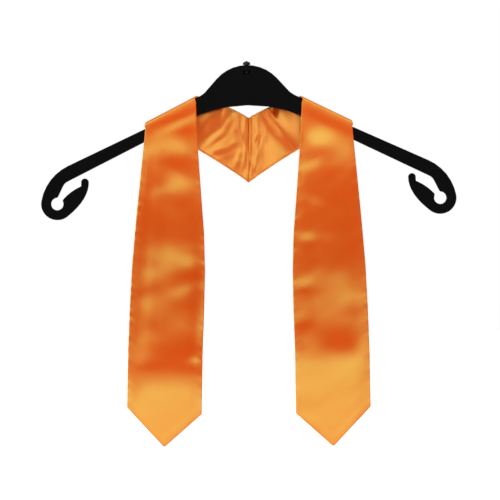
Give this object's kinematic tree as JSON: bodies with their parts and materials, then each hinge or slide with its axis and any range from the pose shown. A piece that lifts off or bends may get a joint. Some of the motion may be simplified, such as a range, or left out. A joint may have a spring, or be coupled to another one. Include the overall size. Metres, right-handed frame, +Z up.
{
  "type": "graduation stole on a hanger",
  "caption": "Satin stole with pointed ends, draped over both arms of a flat moulded hanger with curled, keyholed tips.",
  "frame": {"origin": "top of the hook stud, where the hanger is held up", "axes": "+X to the viewer's right along the hanger, -Y out of the front, +Z up"},
  "size_m": [0.6019, 0.0353, 0.5588],
  "materials": {
    "satin": "orange polyester satin with a soft sheen",
    "lining": "orange satin lining with a soft sheen",
    "hanger": "black moulded plastic",
    "stud": "black steel"
  },
  "bodies": {
    "root": {"hanger_body": "hanger", "hook_stud": "stud", "left_lining": "lining", "left_shell": "satin", "right_lining": "lining", "right_shell": "satin"}
  },
  "joints": []
}
